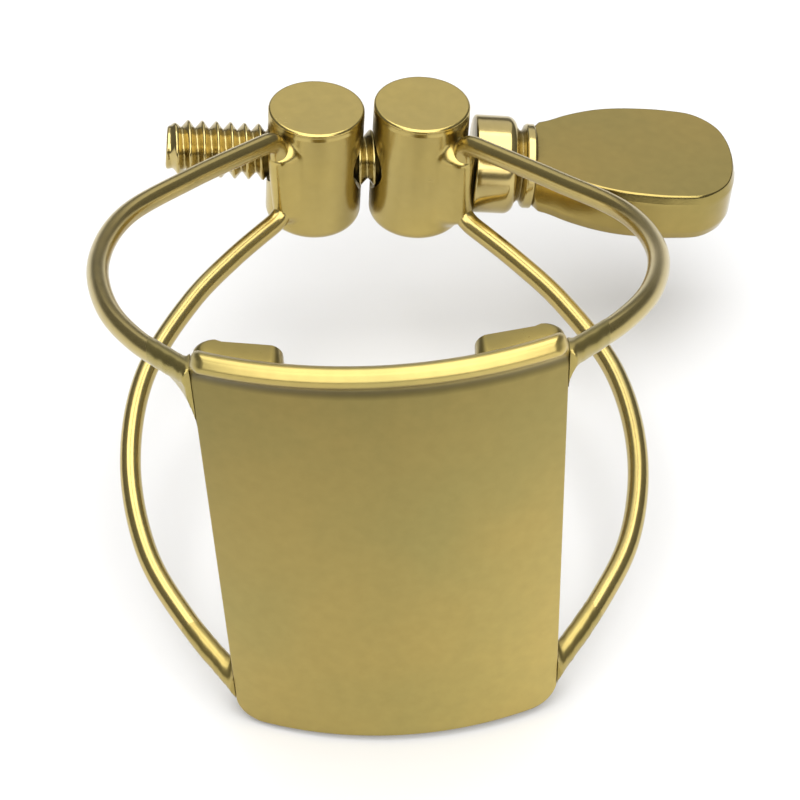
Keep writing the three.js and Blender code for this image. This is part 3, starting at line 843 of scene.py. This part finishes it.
SATIN = brass("satin_lacquered_brass", (0.37, 0.277, 0.083), (0.33, 0.262, 0.083), 0.3, 0.05, 9.0)
PLATE = brass("plate_lacquered_brass", (0.56, 0.43, 0.14), (0.50, 0.41, 0.14), 0.33, 0.05, 9.0, painted_shading=True)
PADDLE = brass("paddle_lacquered_brass", (0.37, 0.275, 0.085), (0.33, 0.26, 0.085), 0.17, 0.05, 8.0, wear=0.8)
BARREL = brass("turned_lacquered_brass", (0.50, 0.385, 0.125), (0.45, 0.355, 0.13), 0.24, 0.06, 7.0, wear=0.7)
WIRE = brass("drawn_wire_brass", (0.52, 0.40, 0.14), (0.46, 0.37, 0.14), 0.24, 0.05, 7.0, drawn=True)
SCREW = brass("cut_screw_brass", (0.53, 0.415, 0.165), (0.47, 0.38, 0.16), 0.18, 0.05, 8.0, wear=0.8)
BRAZE = brass("brazing_metal", (0.42, 0.325, 0.105), (0.38, 0.31, 0.105), 0.3, 0.06, 5.0)


# ---------------------------------------------------------------- assembly

def finish_piece(piece, material, slot, body, *nodes):
    piece.data.materials.clear()
    piece.data.materials.append(material)
    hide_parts(*nodes)
    if body:
        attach(piece, body)


finish_piece(make_plate(), PLATE, "satin_brass", "frame", "pressure_plate")
for word, side in SIDES:
    clamp_body = f"{word}_clamp"
    finish_piece(make_rail(word, side), SATIN, "satin_brass", "frame", f"reed_rail_{word}")
    upper = make_braze(word, side, "upper", UPPER_Z, UPPER_BOW[side], UPPER_BRAZE[side])
    lower = make_braze(word, side, "lower", LOWER_Z, LOWER_BOW, LOWER_BRAZE)
    finish_piece(upper, BRAZE, "braze_alloy", "frame", f"braze_upper_{word}")
    finish_piece(lower, BRAZE, "braze_alloy", "frame", f"braze_lower_{word}")
    finish_piece(make_barrel(word, side), BARREL, "polished_brass", clamp_body, f"barrel_{word}")
    wire = make_wire(word, side)
    finish_piece(wire, WIRE, "polished_brass", None, f"wire_bow_{word}")
    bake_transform(wire)
finish_piece(make_screw(), SCREW, "polished_brass", "thumbscrew", "screw_shank")
finish_piece(make_collar(), SCREW, "polished_brass", "thumbscrew", "thumb_collar")
finish_piece(make_paddle(), PADDLE, "satin_brass", "thumbscrew", "thumb_paddle")


# ---------------------------------------------------------------- floor, light and camera

FLOOR_Z = cad_box[0][2] - 0.0003
VIEW_TARGET = Vector((0.0010, 0.0, -0.00488))
VIEW_DISTANCE = 0.160
VIEW_ELEVATION = math.radians(40.83)
VIEW_AZIMUTH = math.radians(-0.94)
VIEW_ROLL = math.radians(-1.61)
SENSOR = 36.0
LENS = 134.3


def make_floor():
    size = 3.0
    mesh = bpy.data.meshes.new("floor")
    corners = [(-size, -size, FLOOR_Z), (size, -size, FLOOR_Z), (size, size, FLOOR_Z), (-size, size, FLOOR_Z)]
    mesh.from_pydata(corners, [], [(0, 1, 2, 3)])
    floor = bpy.data.objects.new("floor", mesh)
    bpy.context.scene.collection.objects.link(floor)
    material = bpy.data.materials.new("pale_floor")
    material.use_nodes = True
    add = node_maker(material)
    shader = add("ShaderNodeBsdfPrincipled", {"Base Color": (0.72, 0.72, 0.72, 1), "Roughness": 0.9})
    add("ShaderNodeOutputMaterial", {"Surface": shader.outputs["BSDF"]})
    mesh.materials.append(material)


def soft_light(name, azimuth, elevation, distance, size, radiance):
    """A soft box, (width, height) in metres, that faces the ligature."""
    a, e = math.radians(azimuth), math.radians(elevation)
    light = bpy.data.lights.new(name, "AREA")
    light.shape = "RECTANGLE"
    light.size, light.size_y = size
    light.energy = radiance * math.pi * size[0] * size[1]
    obj = bpy.data.objects.new(name, light)
    obj.location = distance * Vector((math.sin(a) * math.cos(e), -math.cos(a) * math.cos(e), math.sin(e)))
    obj.rotation_euler = (-obj.location).to_track_quat("-Z", "Y").to_euler()
    bpy.context.scene.collection.objects.link(obj)


def make_world(horizon, top):
    """A plain studio: dim at the horizon and brighter overhead."""
    world = bpy.data.worlds.new("studio")
    bpy.context.scene.world = world
    world.use_nodes = True
    add = node_maker(world)
    up = add("ShaderNodeTexCoord").outputs["Generated"]
    height = add("ShaderNodeSeparateXYZ", {"Vector": up}).outputs["Z"]
    level = ramp(add, height, [(0.06, horizon), (0.6, top)])
    background = add("ShaderNodeBackground", {"Color": level, "Strength": 1.0})
    add("ShaderNodeOutputWorld", {"Surface": background.outputs["Background"]})


def make_camera():
    a, e = VIEW_AZIMUTH, VIEW_ELEVATION
    back = Vector((math.sin(a) * math.cos(e), -math.cos(a) * math.cos(e), math.sin(e)))
    camera = bpy.data.cameras.new("camera")
    camera.sensor_width = SENSOR
    camera.lens = LENS
    camera.clip_start = 0.005
    camera.clip_end = 20
    obj = bpy.data.objects.new("camera", camera)
    turn = (-back).to_track_quat("-Z", "Y").to_matrix().to_4x4() @ Matrix.Rotation(VIEW_ROLL, 4, "Z")
    obj.matrix_world = Matrix.Translation(VIEW_TARGET + VIEW_DISTANCE * back) @ turn
    bpy.context.scene.collection.objects.link(obj)
    bpy.context.scene.camera = obj


make_floor()
make_world(0.16, 0.25)
soft_light("front", 0, 36, 0.5, (0.8, 0.36), 3.3)
soft_light("top", 0, 88, 0.5, (0.6, 0.6), 3.0)
soft_light("back", 178, 43, 0.6, (0.6, 0.6), 0.72)
make_camera()
bpy.context.scene.view_settings.view_transform = "Standard"
